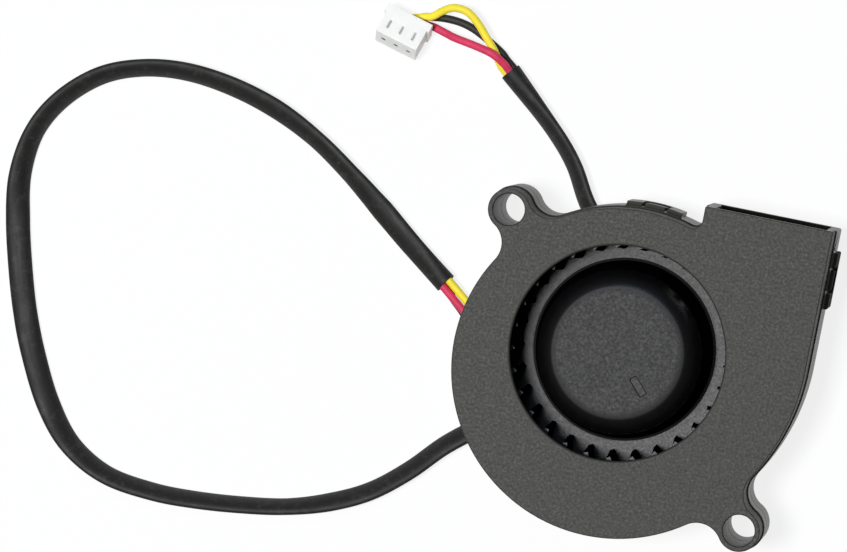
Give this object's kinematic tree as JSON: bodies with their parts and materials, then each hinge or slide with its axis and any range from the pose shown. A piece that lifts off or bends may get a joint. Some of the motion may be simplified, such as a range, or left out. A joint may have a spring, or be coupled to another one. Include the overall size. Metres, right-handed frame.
{
  "type": "radial fan",
  "caption": "Flat radial blower with a snail housing, round inlet over a drum impeller, side outlet, screw ears and a sleeved lead that ends in a small connector.",
  "frame": {"origin": "centre of the round inlet, on the front face of the cover", "axes": "+Z out of the inlet along the rotor axis, +Y out of the outlet, +X to the outlet wall"},
  "size_m": [0.1212, 0.0795, 0.0178],
  "materials": {
    "housing_plastic": "moulded, fine texture",
    "impeller_plastic": "moulded, satin",
    "tube_brass": "turned",
    "sintered_bronze": "sintered, oiled",
    "pad_nylon": "moulded",
    "lamination_steel": "stamped",
    "insulator_nylon": "moulded",
    "enamelled_copper": "enamelled wire",
    "board_laminate": "solder mask",
    "chip_epoxy": "moulded",
    "chip_ceramic": "fired",
    "yoke_steel": "deep drawn, zinc plated",
    "bonded_magnet": "bonded ferrite",
    "shaft_steel": "ground",
    "yellow_insulation": "extruded",
    "red_insulation": "extruded",
    "black_insulation": "extruded",
    "sleeve_vinyl": "extruded, satin",
    "connector_nylon": "moulded",
    "tinned_bronze": "tin plated"
  },
  "bodies": {
    "housing": {"base_housing": "housing_plastic", "inlet_cover": "housing_plastic", "bearing_tube": "tube_brass", "sleeve_bearing": "sintered_bronze", "thrust_pad": "pad_nylon", "oil_washer": "pad_nylon", "stator_core": "lamination_steel", "upper_insulator": "insulator_nylon", "lower_insulator": "insulator_nylon", "coil_1": "enamelled_copper", "coil_2": "enamelled_copper", "coil_3": "enamelled_copper", "coil_4": "enamelled_copper", "circuit_board": "board_laminate", "hall_sensor": "chip_epoxy", "driver_chip": "chip_epoxy", "chip_parts": "chip_ceramic", "yellow_wire": "yellow_insulation", "red_wire": "red_insulation", "black_wire": "black_insulation", "lead_sleeve": "sleeve_vinyl", "connector_housing": "connector_nylon", "crimp_contacts": "tinned_bronze"},
    "rotor": {"impeller": "impeller_plastic", "rotor_yoke": "yoke_steel", "magnet_ring": "bonded_magnet", "shaft": "shaft_steel", "shaft_bush": "tube_brass", "retaining_clip": "shaft_steel"}
  },
  "joints": [
    {"name": "rotor_spin", "type": "hinge", "parent": "housing", "child": "rotor", "pos_m": [0, 0, 0], "axis": [0, 0, 1], "continuous": true}
  ]
}
